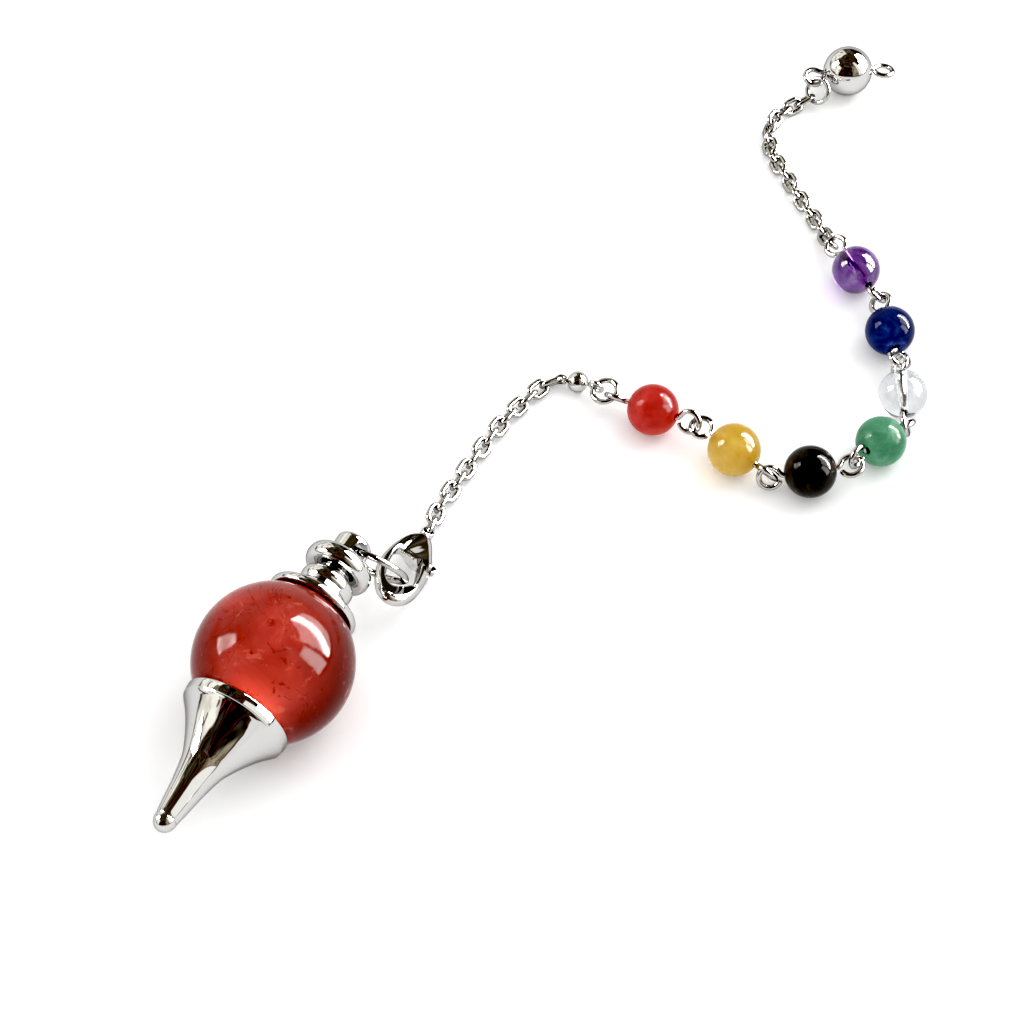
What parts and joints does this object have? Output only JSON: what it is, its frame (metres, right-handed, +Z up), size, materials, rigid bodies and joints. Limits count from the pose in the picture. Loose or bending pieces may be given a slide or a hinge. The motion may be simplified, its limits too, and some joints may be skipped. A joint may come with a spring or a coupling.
{
  "type": "pendulum pendant",
  "caption": "Pointed metal pendulum with a red stone ball, held by a lobster clasp on a fine chain with small stone beads and a metal ball at its free end.",
  "frame": {"origin": "middle of the whole lying object in plan, on the table that it lies on", "axes": "+Z up from the table; +Y from the cone's point towards the chain's free end, as it lies; +X to the right of that"},
  "size_m": [0.0886, 0.1242, 0.0176],
  "materials": {
    "plated_metal": "mirror-bright silver-coloured plating",
    "wire_metal": "bright plated wire",
    "chain_metal": "bright plated cable chain",
    "ball_stone": "polished translucent red stone",
    "red_stone": "polished red stone",
    "yellow_stone": "polished honey-yellow stone",
    "black_stone": "polished black stone",
    "green_stone": "polished cloudy green stone",
    "clear_quartz": "polished rock crystal",
    "blue_stone": "polished dark blue stone",
    "purple_quartz": "polished violet quartz"
  },
  "bodies": {
    "pendulum": {"stone_ball": "ball_stone", "point_cone": "plated_metal", "top_cap": "plated_metal", "hang_ring": "plated_metal", "clasp_body": "plated_metal", "chain_lower": "chain_metal", "stop_bead": "plated_metal", "link_ring": "plated_metal", "bead_red": "red_stone", "bead_yellow": "yellow_stone", "bead_black": "black_stone", "bead_green": "green_stone", "bead_clear": "clear_quartz", "bead_blue": "blue_stone", "bead_purple": "purple_quartz", "pin_red": "wire_metal", "pin_yellow": "wire_metal", "pin_black": "wire_metal", "pin_green": "wire_metal", "pin_clear": "wire_metal", "pin_blue": "wire_metal", "pin_purple": "wire_metal", "chain_upper": "chain_metal", "end_ring": "plated_metal", "end_ball": "plated_metal", "end_pin": "wire_metal"},
    "clasp_lever": {"clasp_lever": "plated_metal"}
  },
  "joints": [
    {"name": "lever_hinge", "type": "hinge", "parent": "pendulum", "child": "clasp_lever", "pos_m": [-0.01732, -0.02488, 0.00218], "axis": [-0.425, -0.1429, -0.8939], "range_deg": [0, 15], "stiffness_Nm_per_rad": 0.002, "springref_deg": -11.46}
  ]
}
